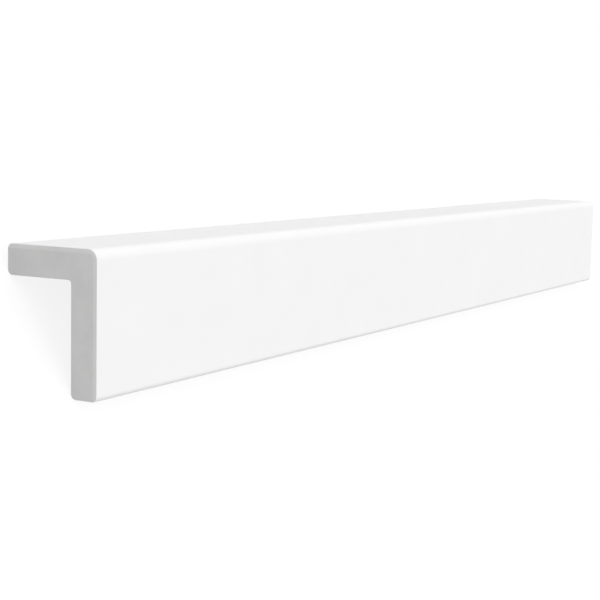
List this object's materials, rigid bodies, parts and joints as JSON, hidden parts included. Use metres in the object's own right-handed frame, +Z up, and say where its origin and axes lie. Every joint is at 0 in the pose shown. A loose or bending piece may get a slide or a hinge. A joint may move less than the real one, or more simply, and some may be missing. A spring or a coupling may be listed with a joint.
{
  "type": "corner guard moulding",
  "caption": "Straight white corner guard moulding: an angle with a wide and a narrow leg, a rounded outer corner and tips, and sawn ends, that covers the outside corner of a wall.",
  "frame": {"origin": "centre of the bounding box's bottom face: on the floor, midway along the length", "axes": "+X along the length, +Y from the wide leg's tip to the narrow leg's tip, +Z up, towards the outer corner"},
  "size_m": [0.4, 0.0488, 0.0278],
  "materials": {
    "white_moulding": "satin white moulded skin, matt where sawn"
  },
  "bodies": {
    "root": {"corner_guard": "white_moulding"}
  },
  "joints": []
}
